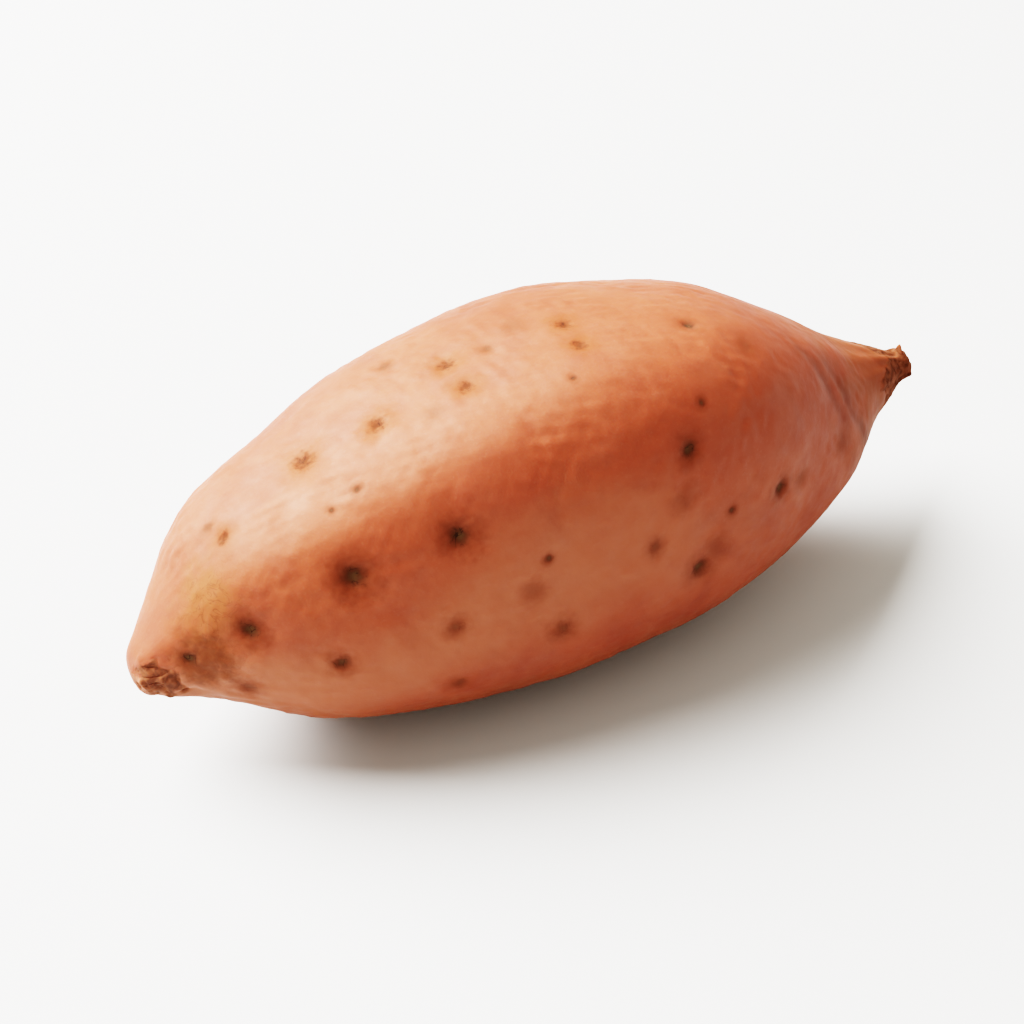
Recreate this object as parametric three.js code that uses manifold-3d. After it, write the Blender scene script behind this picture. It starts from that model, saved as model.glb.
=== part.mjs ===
// A sweet potato: one swollen root, grown in one piece, lying on a small flat spot of its belly.
// Millimetres, +Z up. +X runs along the root from its blunt nose to the crown, where the vine was,
// and -Y is its front. The origin is under the middle of its bounding box, on the surface it lies on.

import * as THREE from 'three';
import { ParametricGeometry } from 'three/addons/geometries/ParametricGeometry.js';
import { mergeVertices } from 'three/addons/utils/BufferGeometryUtils.js';
import Module from 'manifold-3d';

// Driving dimensions.

// Stations along the root, nose to crown: [distance along, radius, height of the axis].
// A smooth curve goes through them. The last four are the neck and the broken stub of the vine.
const STATIONS = [
  [0.0, 0.0, 24.0],
  [0.8, 3.2, 24.2],
  [3.5, 5.6, 25.4],
  [13.0, 13.8, 29.2],
  [28.0, 23.6, 30.4],
  [47.0, 29.5, 31.9],
  [70.0, 33.2, 33.4],
  [92.5, 33.5, 34.0],
  [115.0, 29.5, 33.2],
  [136.0, 18.8, 31.2],
  [150.0, 9.8, 29.8],
  [158.5, 5.6, 29.2],
  [163.5, 3.1, 29.0],
  [166.5, 2.6, 29.0],
  [167.0, 0.0, 29.0],
];

// The axis bows: both ends lie off the middle's line, the nose to the back and the crown to the front.
const NOSE_BACK = 5.9;
const CROWN_FRONT = 2.1;

// The section is a rounded square: a share of the radius, and the angle of one of its corners.
// Angles go round the axis from the top (0) over the front (90) to the belly (180).
const SQUARENESS = 0.03;
const SHOULDER_ANGLE = 38;

// Swellings and hollows: [distance along, angle, reach along, reach around, rise].
const SWELLINGS = [
  [78, 38, 62, 13, 2.4], // the shoulder that runs along the root
  [3, 150, 5, 7, 1.2], // the lip under the nose scar
  [15, -55, 9, 14, 1.2], // the cheek behind the nose
  [35, -31, 9, 14, -1.0], // the dent after the cheek
  [110, -40, 16, 16, -1.1], // the flat of the back
  [138, 106, 15, 14, 2.8], // the bulge before the neck
];

// How deep the belly is pressed flat, and the radius below which a swelling fades to nothing.
const FLAT_DEPTH = 0.5;
const TIP_RADIUS = 3;

// Facets around the root, and rows of facets from one station to the next.
const FACETS_AROUND = 64;
const ROWS_PER_STATION = 4;

// The form of the root.

const length = STATIONS.at(-1)[0];
const widest = Math.max(...STATIONS.map(([, radius]) => radius));
const profile = new THREE.CatmullRomCurve3(
  STATIONS.map(([along, radius, height]) => new THREE.Vector3(along, radius, height)),
  false,
  'chordal',
);

// The profile's radius at the station interval that holds a distance along the root.
function radiusNear(along) {
  const next = STATIONS.findIndex(([reached]) => reached >= along);
  const [from, radiusFrom] = STATIONS[Math.max(next - 1, 0)];
  const [to, radiusTo] = STATIONS[Math.max(next, 1)];
  return THREE.MathUtils.mapLinear(along, from, to, radiusFrom, radiusTo);
}

// How far all swellings and hollows lift the skin at a place. Each is a smooth bell, and distances
// around the root are arcs at the radius of its own station.
function lift(along, angle) {
  let sum = 0;
  for (const [centre, direction, reachAlong, reachAround, rise] of SWELLINGS) {
    const turn = THREE.MathUtils.euclideanModulo(angle - direction + 180, 360) - 180;
    const arc = THREE.MathUtils.degToRad(turn) * radiusNear(centre);
    const bell = Math.exp(-(((along - centre) / reachAlong) ** 2) - (arc / reachAround) ** 2);
    sum += rise * bell;
  }
  return sum;
}

// A point of the skin: u goes once around, v goes from nose to crown.
function skinPoint(u, v, target) {
  const { x: along, y: radius, z: height } = profile.getPoint(v);
  const angle = (u % 1) * 360;
  const turn = THREE.MathUtils.degToRad(angle);
  const corner = THREE.MathUtils.degToRad(4 * (angle - SHOULDER_ANGLE));
  const square = 1 + SQUARENESS * (radius / widest) * Math.cos(corner);
  const fade = THREE.MathUtils.clamp(radius / TIP_RADIUS, 0, 1);
  const reach = Math.max(radius, 0) * square + fade * lift(along, angle);
  const share = along / length;
  const side = NOSE_BACK * (1 - share) ** 2 - CROWN_FRONT * share ** 2;
  target.set(along, side - reach * Math.sin(turn), height + reach * Math.cos(turn));
}

// Solids: closed meshes with merged corners, for the boolean cut.

const wasm = await Module();
wasm.setup();

function toSolid(geometry) {
  const bare = geometry.clone();
  bare.deleteAttribute('normal');
  bare.deleteAttribute('uv');
  const merged = mergeVertices(bare, 1e-4);
  const corners = merged.index.array;
  const triangles = [];
  for (let i = 0; i < corners.length; i += 3) {
    const [a, b, c] = corners.slice(i, i + 3);
    if (a !== b && b !== c && c !== a) {
      triangles.push(a, b, c);
    }
  }
  const vertProperties = merged.attributes.position.array;
  return new wasm.Manifold(new wasm.Mesh({
    numProp: 3,
    vertProperties,
    triVerts: Uint32Array.from(triangles),
  }));
}

function toGeometry(solid) {
  const mesh = solid.getMesh();
  const geometry = new THREE.BufferGeometry();
  geometry.setAttribute('position', new THREE.BufferAttribute(mesh.vertProperties, 3));
  geometry.setIndex(new THREE.BufferAttribute(mesh.triVerts, 1));
  return geometry;
}

// The root is one solid. What it lies on presses its belly flat, so a block is cut away from below.
function makeRoot() {
  const rows = ROWS_PER_STATION * (STATIONS.length - 1);
  const whole = new ParametricGeometry(skinPoint, FACETS_AROUND, rows);
  whole.computeBoundingBox();
  const ground = new THREE.BoxGeometry(2 * length, 2 * length, length);
  ground.translate(length / 2, 0, whole.boundingBox.min.z + FLAT_DEPTH - length / 2);
  const geometry = toGeometry(toSolid(whole).subtract(toSolid(ground)));
  geometry.computeBoundingBox();
  const { min, max } = geometry.boundingBox;
  geometry.translate(-(min.x + max.x) / 2, -(min.y + max.y) / 2, -min.z);
  geometry.computeVertexNormals();
  return geometry;
}

const skin = new THREE.MeshStandardMaterial({ color: 0xd0714c, roughness: 0.5, metalness: 0 });

const root = new THREE.Mesh(makeRoot(), skin);
root.name = 'sweet_potato';

const sweetPotato = new THREE.Group();
sweetPotato.add(root);

export default sweetPotato;
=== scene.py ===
# %% [markdown]
# # A sweet potato
# A sweet potato is one swollen storage root. It hung from a vine, so it is a spindle with a blunt nose at
# one end and a drawn-out crown with the broken stub of the vine at the other. Its eyes are where rootlets
# came out. This lesson builds its skin as one closed surface worked out with numpy, around the packed
# model, and paints it with nodes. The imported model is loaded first, because the root is placed by it.

# %% Load the frame
import math

import bpy
import numpy as np
from mathutils import Matrix, Vector


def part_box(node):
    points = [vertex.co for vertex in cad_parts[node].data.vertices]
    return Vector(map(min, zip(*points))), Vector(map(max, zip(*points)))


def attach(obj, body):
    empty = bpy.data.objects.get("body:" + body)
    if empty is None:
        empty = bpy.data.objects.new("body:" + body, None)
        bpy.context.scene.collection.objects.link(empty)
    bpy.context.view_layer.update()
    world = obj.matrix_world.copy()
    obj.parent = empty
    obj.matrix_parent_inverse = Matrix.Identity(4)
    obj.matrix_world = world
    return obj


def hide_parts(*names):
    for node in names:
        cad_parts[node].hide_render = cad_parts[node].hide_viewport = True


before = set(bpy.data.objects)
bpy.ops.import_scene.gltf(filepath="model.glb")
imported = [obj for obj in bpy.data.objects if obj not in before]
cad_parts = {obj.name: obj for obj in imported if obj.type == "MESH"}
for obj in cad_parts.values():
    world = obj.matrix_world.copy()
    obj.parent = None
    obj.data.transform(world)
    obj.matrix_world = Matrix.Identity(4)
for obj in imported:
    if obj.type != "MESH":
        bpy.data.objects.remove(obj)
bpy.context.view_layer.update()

MM = 0.001
NODE = "sweet_potato"
root_low, root_high = (np.array(corner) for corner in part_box(NODE))
root_middle = (root_low + root_high) / 2
print("packed root, mm:", np.round((root_high - root_low) / MM, 1))

# %% [markdown]
# ## The camera
# The root is seen from its front and a little from its nose, well from above, through a long lens that
# keeps both ends in proportion. A camera looks along its own -Z axis, so its turning is built from three
# directions: right, up, and back towards the viewer.

# %% Place the camera
CAMERA_AZIMUTH = -34  # degrees: 0 looks along +Y, a minus sign moves the viewer towards the nose
CAMERA_ELEVATION = 38
CAMERA_DISTANCE = 438 * MM
CAMERA_LENS = 85
AIM_OFFSET = np.array([-9.0, -1.0, -4.3]) * MM  # what the camera looks at, from the middle of the root


def facing(azimuth, elevation):
    """Unit vectors right, up and back for a viewer at these angles in degrees."""
    a, e = math.radians(azimuth), math.radians(elevation)
    back = np.array([math.sin(a) * math.cos(e), -math.cos(a) * math.cos(e), math.sin(e)])
    right = np.array([math.cos(a), math.sin(a), 0.0])
    return right, np.cross(back, right), back


def place_facing(thing, position, directions):
    """Puts an object at a position with its X, Y and Z axes along three directions."""
    turn = Matrix(np.stack(directions, axis=1).tolist()).to_4x4()
    thing.matrix_world = Matrix.Translation(Vector(position)) @ turn


scene = bpy.context.scene
camera_data = bpy.data.cameras.new("camera")
camera_data.lens = CAMERA_LENS
camera_data.sensor_width = 36
camera = bpy.data.objects.new("camera", camera_data)
scene.collection.objects.link(camera)
camera_directions = facing(CAMERA_AZIMUTH, CAMERA_ELEVATION)
aim = root_middle + AIM_OFFSET
camera_position = aim + camera_directions[2] * CAMERA_DISTANCE
place_facing(camera, camera_position, camera_directions)
scene.camera = camera
print("camera at, mm:", np.round(camera_position / MM))

# %% [markdown]
# ## Colours and nodes
# Screen colours are written as sRGB hex values, and Blender's sockets want linear light, so one function
# turns them. One more adds a node with its settings and its links, and every material uses it.


# %% Two small helpers
def linear(code):
    """The linear RGBA of an sRGB hex colour: a power of 2.4 above a short straight foot."""
    values = np.array([int(code[i:i + 2], 16) for i in (0, 2, 4)]) / 255
    straight = values / 12.92
    curved = ((values + 0.055) / 1.055) ** 2.4
    return (*np.where(values > 0.04045, curved, straight).tolist(), 1.0)


def add(tree, kind, inputs=None, **settings):
    """Adds a node with its settings. Each input takes a value, a socket, or a node's first output."""
    node = tree.nodes.new("ShaderNode" + kind)
    for name, value in settings.items():
        setattr(node, name, value)
    for name, value in (inputs or {}).items():
        if isinstance(value, bpy.types.Node):
            value = value.outputs[0]
        if isinstance(value, bpy.types.NodeSocket):
            tree.links.new(value, node.inputs[name])
        else:
            node.inputs[name].default_value = value
    return node


def new_material(name):
    """An empty node material with its output node, ready for a shader."""
    material = bpy.data.materials.new(name)
    material.use_nodes = True
    material.node_tree.nodes.clear()
    output = material.node_tree.nodes.new("ShaderNodeOutputMaterial")
    return material, material.node_tree, output


# %% [markdown]
# ## The surface it lies on, and the light
# The floor is a plain sheet of matt paper, a light grey that the strong light lifts to near white. One
# large soft light stands behind the root and to the left of it, so the top glows and the front falls into
# warm shade, and an even warm surround fills that shade. The film-like view rolls the brightest tones off
# softly, so the paper isn't burnt out.

# %% Floor
FLOOR_HALF = 3.0  # metres, far past what the camera sees
floor_mesh = bpy.data.meshes.new("paper")
floor_z = float(root_low[2])
floor_corners = [(x * FLOOR_HALF, y * FLOOR_HALF, floor_z) for x, y in ((-1, -1), (1, -1), (1, 1), (-1, 1))]
floor_mesh.from_pydata(floor_corners, [], [(0, 1, 2, 3)])
floor = bpy.data.objects.new("paper", floor_mesh)
scene.collection.objects.link(floor)
paper, tree, output = new_material("matt_white_paper")
paper_shader = add(tree, "BsdfPrincipled", {"Base Color": linear("bcbcbc"), "Roughness": 0.9})
tree.links.new(paper_shader.outputs[0], output.inputs["Surface"])
floor_mesh.materials.append(paper)

# %% Light
LIGHT_AZIMUTH = 157  # degrees round the view: 0 stands to the right, 90 behind the root, 180 to the left
LIGHT_ELEVATION = 48
LIGHT_DISTANCE = 1.2
LIGHT_SIZE = 1.15
LIGHT_POWER = 110
SURROUND = 0.75

view_right = camera_directions[0]
view_away = np.cross([0, 0, 1], view_right)
azimuth, elevation = math.radians(LIGHT_AZIMUTH), math.radians(LIGHT_ELEVATION)
level = math.cos(azimuth) * view_right + math.sin(azimuth) * view_away
light_back = math.cos(elevation) * level + math.sin(elevation) * np.array([0, 0, 1])
light_right = np.cross([0, 0, 1], light_back)
light_right /= np.linalg.norm(light_right)
light_data = bpy.data.lights.new("softbox", "AREA")
light_data.shape = "SQUARE"
light_data.size = LIGHT_SIZE
light_data.energy = LIGHT_POWER
light_data.color = (1.0, 0.99, 0.97)
light = bpy.data.objects.new("softbox", light_data)
scene.collection.objects.link(light)
place_facing(light, root_middle + light_back * LIGHT_DISTANCE,
             (light_right, np.cross(light_back, light_right), light_back))

surround = bpy.data.worlds.new("surround")
surround.use_nodes = True
background = surround.node_tree.nodes["Background"]
background.inputs["Color"].default_value = (1.0, 0.94, 0.82, 1)
background.inputs["Strength"].default_value = SURROUND
scene.world = surround
scene.view_settings.view_transform = "Filmic"
scene.view_settings.look = "Very High Contrast"

# %% [markdown]
# ## The form of the root
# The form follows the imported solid: stations along the root give its radius and the height of its axis, a
# smooth curve goes through them, the section is a softly squared circle, and a few broad swellings and
# hollows make it grown rather than turned. Angles go round from the top (0) over the front (90) to the
# belly (180). All lengths here are millimetres from the nose.

# %% Stations, swellings and hollows
STATIONS = np.array([  # distance along, radius, height of the axis
    [0.0, 0.0, 24.0],
    [0.8, 3.2, 24.2],
    [3.5, 5.6, 25.4],
    [13.0, 13.8, 29.2],
    [28.0, 23.6, 30.4],
    [47.0, 29.5, 31.9],
    [70.0, 33.2, 33.4],
    [92.5, 33.5, 34.0],
    [115.0, 29.5, 33.2],
    [136.0, 18.8, 31.2],
    [150.0, 9.8, 29.8],
    [158.5, 5.6, 29.2],
    [163.5, 3.1, 29.0],
    [166.5, 2.6, 29.0],
    [167.0, 0.0, 29.0],
])
NOSE_BACK = 5.9  # the axis bows to the back at the nose
CROWN_FRONT = 2.1  # and to the front at the crown
SQUARENESS = 0.03
SHOULDER_ANGLE = 38
SWELLINGS = [  # distance along, angle, reach along, reach around, rise
    (78, 38, 62, 13, 2.4),  # the shoulder that runs along the root
    (3, 150, 5, 7, 1.2),  # the lip under the nose scar
    (15, -55, 9, 14, 1.2),  # the cheek behind the nose
    (35, -31, 9, 14, -1.0),  # the dent after the cheek
    (110, -40, 16, 16, -1.1),  # the flat of the back
    (138, 106, 15, 14, 2.8),  # the bulge before the neck
]
FLAT_DEPTH = 0.5
TIP_RADIUS = 3

LENGTH = STATIONS[-1, 0]
WIDEST = STATIONS[:, 1].max()


# %% Curve through the stations
def curve_through(points, t):
    """A curve through points: between two of them a cubic, whose slope at a point is the mean of the two
    chords' slopes there, each weighted by the other chord's length."""
    chords = np.diff(points, axis=0)
    spans = np.linalg.norm(chords, axis=1)[:, None]
    slopes = chords / spans
    inner = (slopes[:-1] * spans[1:] + slopes[1:] * spans[:-1]) / (spans[:-1] + spans[1:])
    tangents = np.vstack([slopes[:1], inner, slopes[-1:]])
    i = np.clip(np.floor(t).astype(int), 0, len(spans) - 1)
    s = (t - i)[..., None]
    start = (1 + 2 * s) * (1 - s) ** 2 * points[i] + s * (1 - s) ** 2 * spans[i] * tangents[i]
    end = s**2 * (3 - 2 * s) * points[i + 1] + s**2 * (s - 1) * spans[i] * tangents[i + 1]
    return start + end


def turn_from(angle, centre):
    """The signed turn in radians from one angle to another, the short way round."""
    return np.radians((angle - centre + 180) % 360 - 180)


def root_form(t, angle):
    """A point of the form: the axis at t, plus the radius at an angle round it. The radius is the
    station's, times a cosine of four turns for the squared section, plus a bell for each swelling."""
    along, radius, height = np.moveaxis(curve_through(STATIONS, t), -1, 0)
    square = 1 + SQUARENESS * radius / WIDEST * np.cos(np.radians(4 * (angle - SHOULDER_ANGLE)))
    rise = np.zeros(np.broadcast(along, angle).shape)
    for centre, direction, reach_along, reach_around, lift in SWELLINGS:
        arc = turn_from(angle, direction) * np.interp(centre, STATIONS[:, 0], STATIONS[:, 1])
        rise += lift * np.exp(-(((along - centre) / reach_along) ** 2) - (arc / reach_around) ** 2)
    reach = np.maximum(radius, 0) * square + np.clip(radius / TIP_RADIUS, 0, 1) * rise
    share = along / LENGTH
    side = NOSE_BACK * (1 - share) ** 2 - CROWN_FRONT * share**2
    turn = np.radians(angle)
    return np.stack([along + 0 * reach, side - reach * np.sin(turn), height + reach * np.cos(turn)], axis=-1)


# %% [markdown]
# ### The grid
# The grid has at least a row for every 0.76 mm along the stations and a few more in each stretch, so the
# small ends get rows close together. The first and last rows have no radius: each is one point, the pole.
# Rows in between close on themselves.

# %% Grid of the form
COLUMNS = 288
ROW_PITCH = 0.76
ROWS_MORE = 5  # in each stretch between two stations
spans = np.linalg.norm(np.diff(STATIONS, axis=0), axis=1)
rows_between = np.ceil(spans / ROW_PITCH).astype(int) + ROWS_MORE
t_rows = np.concatenate([i + np.arange(n) / n for i, n in enumerate(rows_between)] + [[len(spans)]])
t_grid, angle_grid = np.meshgrid(t_rows, np.arange(COLUMNS) * 360 / COLUMNS, indexing="ij")
form = root_form(t_grid, angle_grid)
along_grid = form[..., 0]
radius_grid = np.maximum(curve_through(STATIONS, t_grid)[..., 1], 0)
print("grid:", form.shape[:2], "rows and columns")


def outward(points):
    """Unit normals of a grid that closes on itself round its rows: along-step crossed with around-step."""
    down = np.gradient(points, axis=0)
    around = np.roll(points, -1, axis=1) - np.roll(points, 1, axis=1)
    normals = np.cross(around, down)
    normals[0] = (-1, 0, 0)
    normals[-1] = (1, 0, 0)
    return normals / np.linalg.norm(normals, axis=-1, keepdims=True)


form_normals = outward(form)

# %% [markdown]
# ### Grown unevenness
# Real skin is never even. Sums of sine waves in random directions give soft lumps of one size at a time.
# Broad lumps of 26 mm give the hand-feel, lumps of 9 mm break the outline a little, and lumps of 3 to 5 mm
# show where the light grazes the shoulder. Near the crown the skin gathers in shallow folds, lengthwise
# ribs run out on the neck, and a few oblique furrows run round it where it was squeezed as it grew.


# %% Waves and an eased step
def waves(points, wavelength, seed, count=24):
    """Soft random lumps: a sum of sine waves of about one wavelength in random directions, with a
    spread of about 1."""
    draw = np.random.default_rng(seed)
    directions = draw.normal(size=(count, 3))
    directions /= np.linalg.norm(directions, axis=1, keepdims=True)
    numbers = 2 * np.pi / wavelength * draw.uniform(0.7, 1.4, count)
    phases = draw.uniform(0, 2 * np.pi, count)
    total = np.zeros(points.shape[:-1])
    for direction, number, phase in zip(directions, numbers, phases):
        total += np.sin(number * (points @ direction) + phase)
    return total * math.sqrt(2 / count)


def ease(values, low, high):
    """0 below low, 1 above high, and a smooth step between."""
    s = np.clip((values - low) / (high - low), 0, 1)
    return s * s * (3 - 2 * s)


# %% Lumps
body = ease(radius_grid, 4, 14)
relief = body * (0.15 * waves(form, 26, seed=3) + 0.045 * waves(form, 9, seed=4))
smoother_crown = 1 - 0.6 * ease(along_grid, 105, 135)
fine_lumps = 0.024 * waves(form, 5, seed=30) + 0.038 * waves(form, 2.7, seed=5)
relief += body * smoother_crown * fine_lumps * (1 + 0.4 * waves(form, 14, seed=6))

# %% Folds and ribs of the crown
GRAIN_RADIUS = 22  # millimetres: grain and folds are drawn as if the root were a cylinder of this radius
FOLD_SPACING, FOLD_RISE = 8.5, 0.04
FOLD_TWIST = 0.18  # millimetres back along the root for a degree round it
RIB_SPACING, RIB_RISE = 8, 0.06
turn_grid = np.radians(angle_grid)
grain = np.stack([along_grid, -GRAIN_RADIUS * np.sin(turn_grid), GRAIN_RADIUS * np.cos(turn_grid)], axis=-1)

crown = ease(along_grid, 108, 142)
oblique = grain.copy()
oblique[..., 0] -= FOLD_TWIST * np.degrees(turn_from(angle_grid, 60))
folds = waves(oblique * (1, 0.22, 0.22), FOLD_SPACING, seed=7)
relief += FOLD_RISE * crown * ease(radius_grid, 2.5, 9) * folds
ribs = waves(grain * (0.12, 1, 1), RIB_SPACING, seed=8)
relief += RIB_RISE * ease(along_grid, 128, 160) * ease(radius_grid, 1, 5) * ribs
print("lumps and folds, mm: from", round(relief.min(), 2), "to", round(relief.max(), 2))

# %% Furrows of the crown
FURROWS = [  # from (along, angle), to (along, angle), half width, depth
    ((124, 18), (137, 76), 1.9, 0.24),
    ((118, 12), (129, 42), 1.6, 0.12),
    ((131, 28), (141, 84), 1.3, 0.12),
    ((137, 66), (147, 116), 1.2, 0.10),
    ((113, 34), (122, 64), 1.7, 0.09),
    ((126, -60), (139, -12), 1.6, 0.18),
    ((121, 150), (136, 205), 1.7, 0.18),
    ((130, 230), (143, 280), 1.4, 0.14),
]
FURROW_STEPS = 24
FURROW_BEND = 0.8

furrow = np.zeros(along_grid.shape)
for (first_along, first_angle), (last_along, last_angle), half_width, depth in FURROWS:
    share = np.linspace(0, 1, FURROW_STEPS)
    middle = first_along + share * (last_along - first_along) + FURROW_BEND * np.sin(5 * share)
    bearing = first_angle + share * (last_angle - first_angle)
    path = root_form(np.interp(middle, form[:, 0, 0], t_rows), bearing)
    strength = np.sin(np.pi * (0.08 + 0.84 * share))
    for point, amount in zip(path, strength):
        distance = np.linalg.norm(form - point, axis=-1)
        furrow = np.maximum(furrow, depth * amount * np.exp(-((distance / half_width) ** 2)))
relief -= furrow
print("furrows:", len(FURROWS), "deepest, mm:", round(furrow.max(), 2))

# %% [markdown]
# ### Eyes and marks
# An eye is a small pit where a rootlet grew. Some are deep and dark in a wide dent, some are cracked
# scars with a tan halo, some are only stains. The ones on the front and top are listed one by one. The back
# and belly get theirs from a spiral, as buds grow: each about a golden angle round from the last.

# %% Kinds of eye, and where they are
EYE_KINDS = {  # pit radius and depth, dent radius and depth, stain radius; darkness, stain, yellowness
    "pit": (1.60, 0.50, 4.2, 0.95, 6.9, 0.84, 0.80, 0.05),
    "small_pit": (1.25, 0.38, 3.0, 0.30, 5.0, 0.84, 0.55, 0.25),
    "scar": (1.60, 0.36, 3.2, 0.28, 7.4, 0.72, 0.62, 1.00),
    "stain": (1.30, 0.16, 3.0, 0.12, 4.6, 0.38, 0.55, 0.40),
    "dot": (0.60, 0.18, 1.6, 0.08, 2.2, 0.75, 0.60, 0.25),
    "shadow": (1.60, 0.05, 3.6, 0.12, 5.0, 0.10, 0.42, 0.40),
}
SEEN_EYES = [  # distance along, angle, size, kind
    (7, 71, 0.9, "small_pit"),
    (15.5, 64, 0.85, "pit"),
    (14.5, 110, 1.0, "stain"),
    (17.5, -6, 0.6, "stain"),
    (18, 8, 0.6, "scar"),
    (27.5, 90, 0.9, "small_pit"),
    (31.5, 54, 1.05, "pit"),
    (32.5, 28, 0.7, "dot"),
    (34.5, 0, 1.1, "scar"),
    (37.5, 26, 0.9, "dot"),
    (46, 85, 0.9, "stain"),
    (47, 6, 0.8, "scar"),
    (47, 112, 0.9, "stain"),
    (49, 54, 0.95, "pit"),
    (55, 15, 0.7, "shadow"),
    (56.5, -20, 0.7, "stain"),
    (60, 81, 0.9, "shadow"),
    (62.5, 10, 0.75, "scar"),
    (63, 71, 1.0, "dot"),
    (63.5, -4, 0.75, "scar"),
    (65, 99, 1.1, "stain"),
    (71, -2, 0.6, "stain"),
    (77.5, 25, 0.8, "dot"),
    (78, -7, 0.9, "shadow"),
    (83, 81, 0.8, "stain"),
    (83.5, 14, 0.7, "scar"),
    (85, 2, 0.75, "scar"),
    (89.5, 69, 1.0, "shadow"),
    (92, 55, 1.1, "small_pit"),
    (93, 97, 1.15, "small_pit"),
    (96.5, 92, 1.0, "shadow"),
    (97, 44, 1.0, "dot"),
    (100, 80, 1.1, "dot"),
    (105, 18, 0.85, "small_pit"),
    (112.5, 81, 1.0, "small_pit"),
    (113, 30, 0.9, "shadow"),
    (118.5, 82, 0.8, "shadow"),
    (133, 79, 0.9, "shadow"),
]
GOLDEN_ANGLE = 137.508
SPIRAL_STEPS = 70
HIDDEN_FROM, HIDDEN_TO = 140, 318  # the angles round the belly and the back

draw = np.random.default_rng(11)
spiral_along = 12 + np.arange(SPIRAL_STEPS) * (140 / SPIRAL_STEPS) + draw.uniform(-1, 1, SPIRAL_STEPS)
spiral_angle = (np.arange(SPIRAL_STEPS) * GOLDEN_ANGLE + draw.uniform(-8, 8, SPIRAL_STEPS)) % 360
spiral_size = draw.uniform(0.7, 1.15, SPIRAL_STEPS)
spiral_kind = draw.choice(list(EYE_KINDS), SPIRAL_STEPS, p=[0.12, 0.2, 0.14, 0.2, 0.18, 0.16])
hidden = (spiral_angle > HIDDEN_FROM) & (spiral_angle < HIDDEN_TO)
HIDDEN_EYES = [
    (along, angle, size, kind)
    for along, angle, size, kind, keep in zip(spiral_along, spiral_angle, spiral_size, spiral_kind, hidden)
    if keep
]
EYES = SEEN_EYES + HIDDEN_EYES
print("eyes:", len(SEEN_EYES), "placed,", len(HIDDEN_EYES), "from the spiral")


# %% Press the eyes into the skin
def eye_frame(along, angle):
    """The point of the form at a place, and unit vectors along and around the root there."""
    t = np.interp(along, form[:, 0, 0], t_rows)
    here, on, over = root_form(np.array([t, t + 0.01, t]), np.array([angle, angle, angle + 0.5]))
    on, over = on - here, over - here
    return here, on / np.linalg.norm(on), over / np.linalg.norm(over)


RIM_RISE = 0.10  # the low rim round a pit, in parts of the pit's depth
RIM_DISTANCE, RIM_WIDTH = 1.8, 0.6  # in parts of the pit's radius
uneven = 1 + 0.16 * waves(form, 2.6, seed=9)
eye_points, eye_along, eye_around, eye_shape = [], [], [], []
for along, angle, size, kind in EYES:
    point, on, over = eye_frame(along, angle)
    shape = np.array(EYE_KINDS[kind]) * ([size] * 5 + [1] * 3)
    pit_radius, pit_depth, dent_radius, dent_depth = shape[:4]
    distance = np.linalg.norm(form - point, axis=-1)
    relief -= dent_depth * np.exp(-((distance / dent_radius) ** 2))
    relief -= pit_depth * np.exp(-((distance * uneven / pit_radius) ** 3))
    past_rim = (distance * uneven - RIM_DISTANCE * pit_radius) / (RIM_WIDTH * pit_radius)
    relief += RIM_RISE * pit_depth * np.exp(-(past_rim**2))
    eye_points.append(point)
    eye_along.append(on)
    eye_around.append(over)
    eye_shape.append(shape)
eye_points, eye_along, eye_around, eye_shape = map(np.array, (eye_points, eye_along, eye_around, eye_shape))

# %% [markdown]
# ### The nose scar, the neck and the stub
# The root broke from its thin tail at the nose. The wound healed as a ragged patch of cork, with a crack
# or two, and a lip under it. At the crown the vine was snapped off: a short brown stub with a slanting,
# torn end. Both are deep enough to be real relief, made from the same waves at 2 to 9 mm.

# %% Scar of the nose
SCAR_PLACE = (2.2, 100)  # distance along, angle
SCAR_CORE, SCAR_RIM = 2.6, 6.2
NOTCH_PLACE, NOTCH_REACH, NOTCH_DEPTH = (7.5, 122), 1.9, 0.8
scar_distance = np.linalg.norm(form - eye_frame(*SCAR_PLACE)[0], axis=-1)
scar_edge = scar_distance + 0.9 * waves(form, 3.2, seed=21)
scar = 1 - ease(scar_edge, SCAR_CORE, SCAR_RIM)
crags = waves(form, 2.3, seed=22)
cracks = np.exp(-((waves(form, 3.4, seed=23) / 0.22) ** 2))
relief += scar * (0.12 * crags + 0.14 * waves(form, 4.5, seed=24) - 0.26 * cracks)
notch_distance = np.linalg.norm(form - eye_frame(*NOTCH_PLACE)[0], axis=-1)
relief -= NOTCH_DEPTH * np.exp(-((notch_distance / NOTCH_REACH) ** 2))

# %% Stub of the vine
STUB_START = 155.2
STUB_FADE = (-1.4, 2.2)  # where the cork begins and is whole, from the start
STUB_SWELLING = (164.6, 1.6, 0.25)  # distance along, reach, rise
BARBS = [(164.4, 14, 2.0, 0.8), (165.6, 100, 0.7, 0.5)]  # along, angle, rise, radius
stub_edge = along_grid + 1.3 * waves(grain * (0.5, 0.6, 0.6), 9, seed=25) + 0.5 * waves(form, 1.8, seed=31)
stub = ease(stub_edge, STUB_START + STUB_FADE[0], STUB_START + STUB_FADE[1])
relief += stub * (0.10 * waves(grain * (0.3, 0.6, 0.6), 6, seed=26) + 0.04 * waves(form, 1.7, seed=27))
swelling_along, swelling_reach, swelling_rise = STUB_SWELLING
relief += swelling_rise * np.exp(-(((along_grid - swelling_along) / swelling_reach) ** 2))
for along, angle, rise, reach in BARBS:
    distance = np.linalg.norm(form - eye_frame(along, angle)[0], axis=-1)
    relief += rise * np.exp(-((distance / reach) ** 2))
relief *= ease(radius_grid, 0.0, 1.4) * 0.85 + 0.15
print("stub begins, mm from the crown's end:", round(LENGTH - STUB_START, 1))

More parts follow.
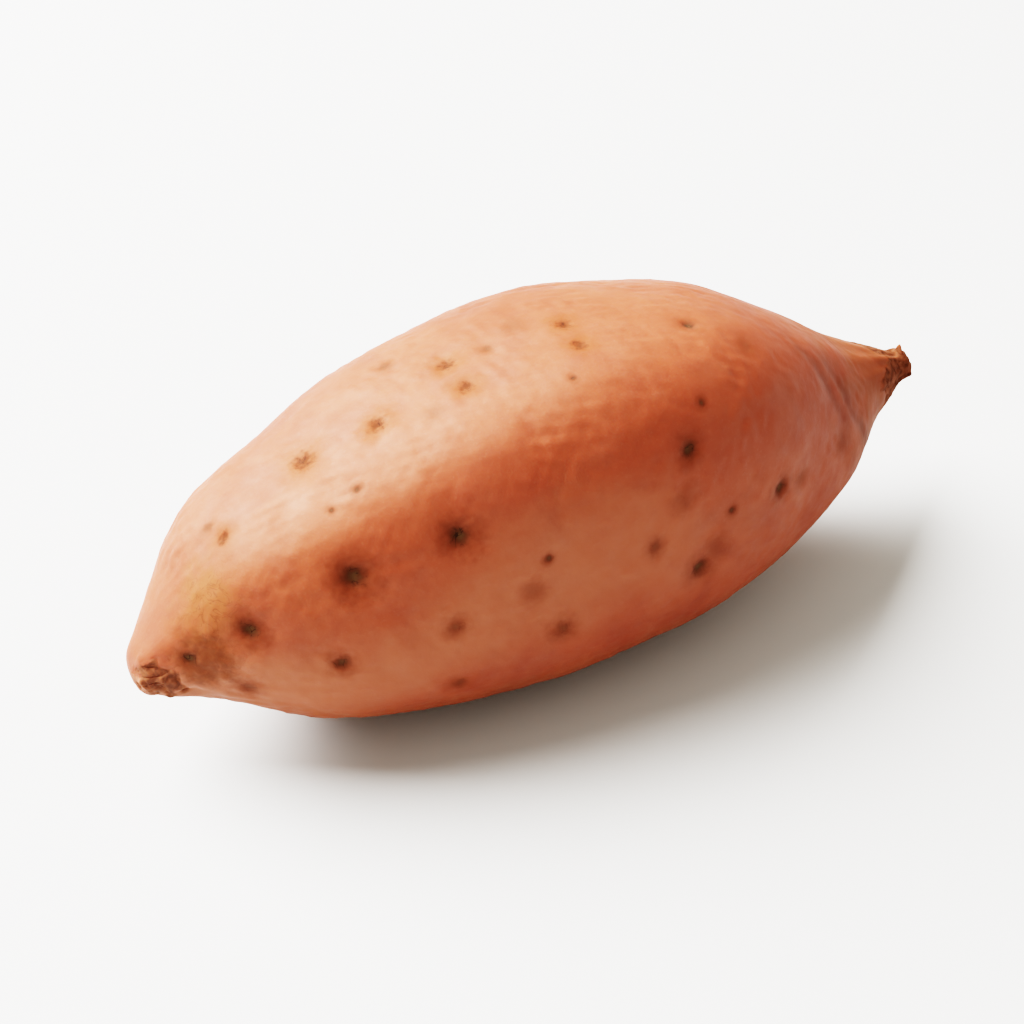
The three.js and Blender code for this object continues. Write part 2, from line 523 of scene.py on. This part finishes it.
# %% The skin's points, and the torn end
SLANT = 0.45
SLANT_ANGLE = 100  # where the torn end reaches farthest
skin_points = form + form_normals * relief[..., None]
torn = ease(along_grid, 163.0, 166.6)
slant = SLANT * (1 - np.cos(turn_grid - math.radians(SLANT_ANGLE)))
ragged = 0.16 * waves(form, 1.8, seed=28)
skin_points[..., 0] -= torn * (slant * ease(radius_grid, 0, 2) + ragged + 0.4)
skin_points[0] = skin_points[0].mean(axis=0)
skin_points[-1] = skin_points[-1].mean(axis=0)

# %% Place the root in the frame and press its belly flat
form_low, form_high = form.reshape(-1, 3).min(axis=0), form.reshape(-1, 3).max(axis=0)
flat_level = form_low[2] + FLAT_DEPTH
origin = np.array([(form_low[0] + form_high[0]) / 2, (form_low[1] + form_high[1]) / 2, flat_level])
stand = np.array([root_middle[0], root_middle[1], root_low[2]])
skin_points = np.clip(skin_points, form_low, form_high)
skin_points[..., 2] = np.maximum(skin_points[..., 2], flat_level)


def placed(points):
    """Points of the form, in millimetres, as places in the frame in metres."""
    return (points - origin) * MM + stand


# %% [markdown]
# ### The mesh and what it carries
# Two poles and closed rows make one watertight skin. The mesh also carries what the paint needs. Every
# face belongs to the eye that reaches it most, and each of its corners holds the offset from that eye in
# parts of the stain's radius, so a stain is drawn round and sharp on any grid. Vertices hold the grain's
# coordinates and how much there is of scar, stub, yellowed nose, wound and neck, and of painted shade in the
# furrows and fold valleys. They also hold three bands of painted light: painted bounce light from the floor
# on the front, a redder painted shade along the shoulder where the light turns, and painted bounce light on
# the belly.

# %% Make the mesh
ROWS = len(t_rows)


def rows_to_vertices(values):
    """Values on the grid, in the mesh's order: the first pole, the rows between, the last pole."""
    flat = values.reshape(ROWS, COLUMNS, -1)
    return np.vstack([flat[0, :1], flat[1:-1].reshape(-1, flat.shape[2]), flat[-1, :1]])


vertices = rows_to_vertices(placed(skin_points))
index = 1 + np.arange((ROWS - 2) * COLUMNS).reshape(ROWS - 2, COLUMNS)
index_next = np.roll(index, -1, axis=1)
quads = np.stack([index[:-1], index_next[:-1], index_next[1:], index[1:]], axis=-1).reshape(-1, 4)
last = len(vertices) - 1
nose_fan = np.stack([index_next[0], index[0], 0 * index[0]], axis=-1)
crown_fan = np.stack([index[-1], index_next[-1], 0 * index[-1] + last], axis=-1)
faces = quads.tolist() + nose_fan.tolist() + crown_fan.tolist()

skin_mesh = bpy.data.meshes.new("root_skin")
skin_mesh.from_pydata(vertices.tolist(), [], faces)
skin_mesh.polygons.foreach_set("use_smooth", np.ones(len(faces), dtype=bool))
root = bpy.data.objects.new("root_skin", skin_mesh)
scene.collection.objects.link(root)
triangles = 2 * len(quads) + 2 * COLUMNS
print("skin:", len(vertices), "vertices,", triangles, "triangles")


# %% Give the mesh its attributes
def set_attribute(name, domain, vectors):
    """Stores three numbers at each vertex or corner of the skin."""
    attribute = skin_mesh.attributes.new(name, "FLOAT_VECTOR", domain)
    attribute.data.foreach_set("vector", np.ascontiguousarray(vectors, dtype=np.float32).ravel())


OCHRE_PLACE, OCHRE_REACH = (11.5, 34), 6.5  # distance along and angle, and how far it spreads
WOUND_PLACE, WOUND_REACH = (9, 78), 7.5
ochre_distance = np.linalg.norm((form - eye_frame(*OCHRE_PLACE)[0]) * (1.0, 0.75, 0.75), axis=-1)
ochre = np.exp(-((ochre_distance / OCHRE_REACH) ** 2))
wound_distance = np.linalg.norm(form - eye_frame(*WOUND_PLACE)[0], axis=-1)
wound = np.exp(-((wound_distance / WOUND_REACH) ** 2))
neck = ease(along_grid, 112, 158)
# Painted shade: the skin is painted darker in the furrows and the fold valleys, the more the deeper.
crease_shade = furrow + 0.10 * crown * np.clip(-folds, 0, 1.5)
set_attribute("grain", "POINT", rows_to_vertices(grain * MM))
set_attribute("patches", "POINT", rows_to_vertices(np.stack([scar, stub, ochre], axis=-1)))
set_attribute("stains_and_crease_shade", "POINT", rows_to_vertices(np.stack([wound, neck, crease_shade], axis=-1)))

# %% Give it the three bands of painted light
SHOULDER_MIDDLE, SHOULDER_WIDTH = 47, 20  # degrees
PALE_WIDTH = 25
BELLY_FROM, BELLY_WHOLE = 75, 45  # degrees from the lowest line
# Painted light, not skin colour: painted bounce light from the floor on the front, a redder painted shade
# along the shoulder where the light turns, and painted bounce light on the belly.
shoulder_shade = np.exp(-((turn_from(angle_grid, SHOULDER_MIDDLE) / math.radians(SHOULDER_WIDTH)) ** 2))
shoulder_shade = shoulder_shade * ease(along_grid, 12, 40)
pale_angle = np.interp(along_grid, [30, 55], [105, 81])
front_bounce_light = np.exp(-((turn_from(angle_grid, pale_angle) / math.radians(PALE_WIDTH)) ** 2))
front_bounce_light *= 1 - 0.7 * ease(along_grid, 70, 105)
belly_bounce_light = ease(np.abs(turn_from(angle_grid, 180)), math.radians(BELLY_FROM), math.radians(BELLY_WHOLE))
set_attribute("painted_light", "POINT", rows_to_vertices(np.stack([front_bounce_light, shoulder_shade, belly_bounce_light], axis=-1)))

# %% Give each face its eye
form_vertices = rows_to_vertices(form)
corners = np.concatenate([quads.ravel(), nose_fan.ravel(), crown_fan.ravel()])
corners_of_face = np.concatenate([np.full(len(quads), 4), np.full(2 * COLUMNS, 3)])
corner_face = np.repeat(np.arange(len(faces)), corners_of_face)
corner_points = form_vertices[corners]
face_centres = np.stack([np.bincount(corner_face, corner_points[:, axis]) for axis in range(3)], axis=-1)
face_centres /= np.bincount(corner_face)[:, None]
best = np.full(len(face_centres), np.inf)
owner = np.zeros(len(face_centres), dtype=int)
for number, (point, shape) in enumerate(zip(eye_points, eye_shape)):
    reach = np.linalg.norm(face_centres - point, axis=-1) / shape[4]
    owner[reach < best] = number
    best = np.minimum(best, reach)
corner_owner = owner[corner_face]
offset = corner_points - eye_points[corner_owner]
stain_radius = eye_shape[corner_owner, 4]
eye_vectors = np.stack([
    (offset * eye_along[corner_owner]).sum(axis=-1) / stain_radius,
    (offset * eye_around[corner_owner]).sum(axis=-1) / stain_radius,
    eye_shape[corner_owner, 0] / stain_radius,
], axis=-1)
set_attribute("eye", "CORNER", eye_vectors)
set_attribute("eye_looks", "CORNER", eye_shape[corner_owner, 5:8])
print("attributes:", [a.name for a in skin_mesh.attributes if not a.name.startswith(".")])

# %% [markdown]
# ## The skin
# Raw sweet potato skin is a thin living cork, dug, washed and dried: copper orange, softly mottled, a
# little waxy. Light sinks in slightly, so the turn into shade goes red, and a redder painted shade along the
# shoulder adds to it. The colour is layered: broad clouds of orange, faint lengthwise grain, a dusty bloom,
# then the patches with painted bounce light and painted shade among them, the stains round the eyes, the
# dark pits, and last the brown cork of the scar and the stub.

# %% Skin: coordinates and masks
skin, tree, output = new_material("waxy_root_skin")
place = add(tree, "TexCoord").outputs["Object"]
grain_place = add(tree, "Attribute", attribute_name="grain").outputs["Vector"]
streak_place = add(tree, "Mapping", {"Vector": grain_place, "Scale": (0.2, 1, 1)})
spaces = {"body": place, "grain": streak_place}
parts = {}
for name, part_names in (
    ("patches", ("scar", "stub", "ochre")),
    ("stains_and_crease_shade", ("wound", "neck", "crease_shade")),
    ("painted_light", ("front_bounce_light", "shoulder_shade", "belly_bounce_light")),
    ("eye", ("eye_x", "eye_y", "pit_share")),
    ("eye_looks", ("darkness", "stain", "yellowness")),
):
    carried = add(tree, "Attribute", attribute_name=name).outputs["Vector"]
    split = add(tree, "SeparateXYZ", {"Vector": carried})
    for part_name, part in zip(part_names, split.outputs):
        parts[part_name] = part

# %% [markdown]
# ### Clouds of colour
# Each row lays one colour over what is there, where a noise of one size rises from one level to another.
# The broad rows give the eye the slow change from salmon to copper, the rows under 10 mm the soft mottle of
# washed skin, and the rows under 2 mm the fine dust that keeps it from looking like plastic.

# %% Skin: orange, clouds, grain and bloom
BASE = "7e3925"
CLOUDS = [  # space, size in mm, detail, distortion, from, to, strength, colour
    ("body", 34, 2, 0.6, 0.38, 0.62, 0.70, "88442e"),
    ("body", 15, 3, 0.8, 0.46, 0.70, 0.50, "703123"),
    ("body", 9, 3, 0.5, 0.48, 0.72, 0.35, "8c4d3a"),
    ("body", 4.5, 3, 0.4, 0.48, 0.76, 0.18, "6d3021"),
    ("grain", 2.2, 3, 0.2, 0.46, 0.72, 0.09, "8a4f3c"),
    ("body", 1.3, 3, 0.0, 0.52, 0.76, 0.14, "662a1c"),
    ("body", 0.6, 2, 0.0, 0.55, 0.75, 0.12, "8f5849"),
]
colour = linear(BASE)
for space, size, detail, distortion, low, high, strength, code in CLOUDS:
    cloud = add(tree, "TexNoise", {
        "Vector": spaces[space], "Scale": 1 / (size * MM), "Detail": detail, "Distortion": distortion,
    })
    amount = add(tree, "MapRange", {
        "Value": cloud, "From Min": low, "From Max": high, "To Max": strength,
    }, interpolation_type="SMOOTHSTEP")
    colour = add(tree, "MixRGB", {"Fac": amount, "Color1": colour, "Color2": linear(code)})
print("cloud layers:", len(CLOUDS))

# %% [markdown]
# ### Patches
# A patch is where the mesh says there is some of it, with an edge made ragged by a noise: the mesh's part
# plus the noise's share goes through a smooth step. Three patches are painted light, wide and faint: a
# redder painted shade along the shoulder, and painted bounce light from the floor on the front and on the
# belly. The furrows and fold valleys get painted shade. The healed skin of the nose has lost its wax, so its
# patches are dull as well.

# %% Skin: painted bounce light and shade, yellowed nose, wound, neck and painted crease shade
PATCHES = [  # part, noise in mm, noise share, from, to, strength, dullness, colour
    # The first three rows are painted light: a redder painted shade along the shoulder, and painted bounce
    # light from the floor on the front and on the belly.
    ("shoulder_shade", 10, 0.9, 0.70, 1.60, 0.26, 0.0, "7a3927"),
    ("front_bounce_light", 14, 1.0, 0.60, 1.50, 0.52, 0.0, "965c45"),
    ("belly_bounce_light", 12, 0.8, 0.50, 1.40, 0.55, 0.0, "7d452a"),
    ("ochre", 3.0, 1.1, 0.75, 1.60, 0.70, 0.4, "7a4526"),
    ("wound", 3.2, 1.2, 0.85, 1.60, 0.70, 0.7, "66371f"),
    ("wound", 1.2, 1.2, 1.10, 1.60, 0.50, 0.8, "4c2815"),
    ("neck", 6.0, 1.0, 0.70, 1.60, 0.65, 0.0, "6e402a"),
    # painted shade in the furrows and fold valleys
    ("crease_shade", 3.0, 0.2, 0.12, 0.40, 0.50, 0.0, "4a2010"),
]
dullness = 0.0
for part_name, size, share, low, high, strength, dull_share, code in PATCHES:
    edge = add(tree, "TexNoise", {
        "Vector": place, "Scale": 1 / (size * MM), "Detail": 4, "Distortion": 0.6,
    })
    level = add(tree, "Math", {0: edge, 1: share, 2: parts[part_name]}, operation="MULTIPLY_ADD")
    amount = add(tree, "MapRange", {
        "Value": level, "From Min": low, "From Max": high, "To Max": strength,
    }, interpolation_type="SMOOTHSTEP")
    colour = add(tree, "MixRGB", {"Fac": amount, "Color1": colour, "Color2": linear(code)})
    dull_amount = add(tree, "Math", {0: amount, 1: dull_share}, operation="MULTIPLY")
    dullness = add(tree, "Math", {0: dullness, 1: dull_amount}, operation="MAXIMUM")

print("patches:", len(PATCHES))

# %% [markdown]
# ### Fine lines
# Old skin tears in hair-thin brown lines as the root swells. A noise crosses its middle value along lines
# that wander and never end, so they are drawn where it is close to the middle, on the yellowed nose and, as
# cracks, in the eyes.

# %% Skin: fine brown lines
LINE_SPACING = 3.6
LINE_WIDTH = 0.020  # how near its middle the noise has to be
line_noise = add(tree, "TexNoise", {
    "Vector": place, "Scale": 1 / (LINE_SPACING * MM), "Detail": 3, "Distortion": 1.2,
})
line_level = add(tree, "Math", {0: line_noise, 1: 0.5}, operation="SUBTRACT")
line_depth = add(tree, "Math", {0: line_level}, operation="ABSOLUTE")
lines = add(tree, "MapRange", {"Value": line_depth, "From Max": LINE_WIDTH, "To Min": 1.0, "To Max": 0.0})
nose_lines = add(tree, "Math", {0: lines, 1: parts["ochre"]}, operation="MULTIPLY")
nose_amount = add(tree, "Math", {0: nose_lines, 1: 0.75}, operation="MULTIPLY")
colour = add(tree, "MixRGB", {"Fac": nose_amount, "Color1": colour, "Color2": linear("5a2c16")})

# %% [markdown]
# ### The paint of the eyes
# The distance from an eye, in parts of its stain's radius and made ragged by two noises, gives three
# rings: a wide soft stain, the dark pit, and the paler grey cork at the bottom of the pit. The yellower an
# eye is, the more ragged its pit, because it is an old scar that has cracked.

# %% Skin: stains round the eyes
eye_plane = add(tree, "CombineXYZ", {0: parts["eye_x"], 1: parts["eye_y"]})
eye_distance = add(tree, "VectorMath", {0: eye_plane}, operation="LENGTH").outputs["Value"]
wide_edge = add(tree, "TexNoise", {
    "Vector": place, "Scale": 1 / (3.6 * MM), "Detail": 2, "Distortion": 0.4,
})
fine_edge = add(tree, "TexNoise", {"Vector": place, "Scale": 1 / (1.1 * MM), "Detail": 3})
WIDE_SHARE, FINE_SHARE = 0.8, 0.35
EDGE_SHIFT = 0.575  # what the two noises add on average
wide_reach = add(tree, "Math", {0: wide_edge, 1: WIDE_SHARE, 2: eye_distance}, operation="MULTIPLY_ADD")
eye_reach = add(tree, "Math", {0: fine_edge, 1: FINE_SHARE, 2: wide_reach}, operation="MULTIPLY_ADD")
stain_fall = add(tree, "MapRange", {
    "Value": eye_reach, "From Min": 0.10 + EDGE_SHIFT, "From Max": 1.0 + EDGE_SHIFT,
    "To Min": 1.0, "To Max": 0.0,
}, interpolation_type="SMOOTHSTEP")
stain_inside = add(tree, "MapRange", {
    "Value": eye_distance, "From Min": 0.70, "From Max": 1.0, "To Min": 1.0, "To Max": 0.0,
}, interpolation_type="SMOOTHSTEP")
stain_shape = add(tree, "Math", {0: stain_fall, 1: stain_inside}, operation="MULTIPLY")
stain_mask = add(tree, "Math", {0: stain_shape, 1: parts["stain"]}, operation="MULTIPLY")
stain_colour = add(tree, "MixRGB", {
    "Fac": parts["yellowness"], "Color1": linear("522818"), "Color2": linear("78391c"),
})
colour = add(tree, "MixRGB", {"Fac": stain_mask, "Color1": colour, "Color2": stain_colour})

# %% Skin: dark pits, grey cores and cracks
fine_shift = add(tree, "Math", {0: fine_edge, 1: 0.5}, operation="SUBTRACT")
raggedness = add(tree, "MapRange", {"Value": parts["yellowness"], "To Min": 0.16, "To Max": 0.60})
pit_edge = add(tree, "Math", {0: fine_shift, 1: raggedness, 2: eye_distance}, operation="MULTIPLY_ADD")
pit_reach = add(tree, "Math", {0: pit_edge, 1: parts["pit_share"]}, operation="DIVIDE")
pit_fall = add(tree, "MapRange", {
    "Value": pit_reach, "From Min": 0.2, "From Max": 1.8, "To Min": 1.0, "To Max": 0.0,
}, interpolation_type="SMOOTHSTEP")
pit_shape = add(tree, "Math", {0: pit_fall, 1: stain_inside}, operation="MULTIPLY")
pit_mask = add(tree, "Math", {0: pit_shape, 1: parts["darkness"]}, operation="MULTIPLY")
pit_colour = add(tree, "MixRGB", {
    "Fac": parts["yellowness"], "Color1": linear("3f291c"), "Color2": linear("361a0b"),
})
colour = add(tree, "MixRGB", {"Fac": pit_mask, "Color1": colour, "Color2": pit_colour})
core_fall = add(tree, "MapRange", {
    "Value": pit_reach, "From Min": 0.0, "From Max": 0.80, "To Min": 0.60, "To Max": 0.0,
}, interpolation_type="SMOOTHSTEP")
grey_share = add(tree, "Math", {0: 1.0, 1: parts["yellowness"]}, operation="SUBTRACT")
grey_fall = add(tree, "Math", {0: core_fall, 1: grey_share}, operation="MULTIPLY")
core_mask = add(tree, "Math", {0: grey_fall, 1: pit_mask}, operation="MULTIPLY")
colour = add(tree, "MixRGB", {"Fac": core_mask, "Color1": colour, "Color2": linear("5a4733")})
crack_mask = add(tree, "Math", {0: lines, 1: pit_mask}, operation="MULTIPLY")
colour = add(tree, "MixRGB", {"Fac": crack_mask, "Color1": colour, "Color2": linear("1e1009")})

# %% [markdown]
# ### Cork
# The scar and the stub are dead cork: rust brown, broken by darker hollows of about a millimetre, with no
# wax on them.

# %% Skin: cork scar and stub
cork_noise = add(tree, "TexNoise", {
    "Vector": place, "Scale": 1 / (1.3 * MM), "Detail": 6, "Distortion": 0.5,
})
cork_mix = add(tree, "MapRange", {"Value": cork_noise, "From Min": 0.38, "From Max": 0.62})
corks = {}
CORKS = [  # part, noise in mm, from, to, strength, dark colour, light colour
    ("scar", 1.8, 0.70, 1.40, 0.88, "432316", "6e412c"),
    ("stub", 1.6, 0.75, 1.35, 0.88, "48291b", "6a4130"),
]
for part_name, size, low, high, strength, dark, light_brown in CORKS:
    edge = add(tree, "TexNoise", {"Vector": place, "Scale": 1 / (size * MM), "Detail": 4})
    level = add(tree, "Math", {0: edge, 1: 1.0, 2: parts[part_name]}, operation="MULTIPLY_ADD")
    corks[part_name] = add(tree, "MapRange", {
        "Value": level, "From Min": low, "From Max": high, "To Max": strength,
    }, interpolation_type="SMOOTHSTEP")
    cork = add(tree, "MixRGB", {"Fac": cork_mix, "Color1": linear(dark), "Color2": linear(light_brown)})
    colour = add(tree, "MixRGB", {"Fac": corks[part_name], "Color1": colour, "Color2": cork})

# %% [markdown]
# ### Gloss and fine relief
# Washed skin is satin: the wax is uneven, so the gloss comes and goes in patches of 4 mm, and it thins out
# towards the neck. Cork and pits are dull. Wrinkles of 1.3 mm and pores of 0.4 mm break the highlight, and
# the cork is rough. The IOR is that of wax, and the tint keeps the sheen warm.

# %% Skin: roughness and gloss
cork_mask = add(tree, "Math", {0: corks["scar"], 1: corks["stub"]}, operation="MAXIMUM")
dull = add(tree, "Math", {0: cork_mask, 1: pit_mask}, operation="MAXIMUM")
wax_noise = add(tree, "TexNoise", {"Vector": place, "Scale": 1 / (4 * MM), "Detail": 4})
wax = add(tree, "MapRange", {
    "Value": wax_noise, "From Min": 0.35, "From Max": 0.65, "To Min": 0.55, "To Max": 0.66,
})
roughness = add(tree, "Mix", {0: dull, 2: wax, 3: 0.9})
stain_dull = add(tree, "Math", {0: stain_mask, 1: 0.8}, operation="MULTIPLY")
dullness = add(tree, "Math", {0: dullness, 1: stain_dull}, operation="MAXIMUM")
crown_gloss = add(tree, "MapRange", {
    "Value": parts["neck"], "From Max": 0.7, "To Min": 0.46, "To Max": 0.07,
})
gloss = add(tree, "Mix", {0: dullness, 2: crown_gloss, 3: 0.05})

# %% Skin: fine relief and shader
CORK_ROUGHNESS_HEIGHT = 0.22  # millimetres
RELIEF = [  # space, size in mm, detail, height in mm
    ("body", 1.3, 3, 0.042),
    ("body", 0.4, 2, 0.010),
    ("grain", 1.6, 4, 0.014),
]
height = add(tree, "Math", {0: cork_noise, 1: cork_mask}, operation="MULTIPLY")
height = add(tree, "Math", {0: height, 1: CORK_ROUGHNESS_HEIGHT}, operation="MULTIPLY")
for space, size, detail, tall in RELIEF:
    bumps = add(tree, "TexNoise", {"Vector": spaces[space], "Scale": 1 / (size * MM), "Detail": detail})
    height = add(tree, "Math", {0: bumps, 1: tall, 2: height}, operation="MULTIPLY_ADD")
bump = add(tree, "Bump", {"Height": height, "Distance": MM, "Strength": 1.0})
shader = add(tree, "BsdfPrincipled", {
    "Base Color": colour,
    "Roughness": roughness,
    "IOR": 1.45,
    "Specular IOR Level": gloss,
    "Specular Tint": linear("ffdcc4"),
    "Normal": bump,
    "Subsurface Weight": 0.25,
    "Subsurface Radius": (1.0, 0.35, 0.15),
    "Subsurface Scale": 2.0 * MM,
})
tree.links.new(shader.outputs[0], output.inputs["Surface"])
skin_mesh.materials.append(skin)
print("skin nodes:", len(tree.nodes))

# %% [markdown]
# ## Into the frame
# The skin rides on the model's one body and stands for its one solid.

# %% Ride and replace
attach(root, "root")
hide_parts(NODE)
